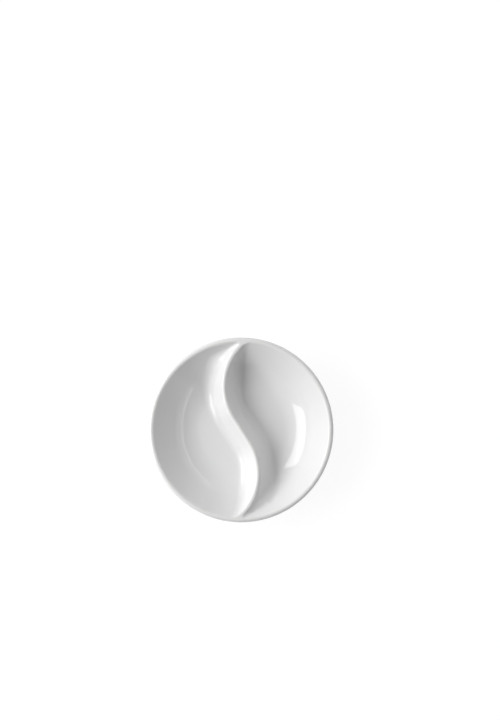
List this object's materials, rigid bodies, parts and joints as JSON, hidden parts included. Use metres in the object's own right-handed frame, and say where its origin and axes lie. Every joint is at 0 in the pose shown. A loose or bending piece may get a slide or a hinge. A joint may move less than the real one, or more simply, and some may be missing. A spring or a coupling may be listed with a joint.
{
  "type": "divided serving bowl",
  "caption": "Round white porcelain serving bowl, split by an S-shaped wall into comma-shaped compartments for dips or snacks, standing on a low foot ring.",
  "frame": {"origin": "on the surface that the foot ring stands on, under the middle of the bowl", "axes": "+Z up; seen from above with +Y up, the dividing wall is an S, and its two ends lie near +Y and -Y"},
  "size_m": [0.12, 0.12, 0.028],
  "materials": {
    "glazed_porcelain": "clear gloss glaze over white porcelain",
    "bare_porcelain": "fired porcelain without glaze, matt"
  },
  "bodies": {
    "root": {"bowl_shell": "glazed_porcelain", "divider_wall": "glazed_porcelain", "divider_slip": "bare_porcelain", "foot_ring": "bare_porcelain", "foot_slip": "bare_porcelain"}
  },
  "joints": []
}
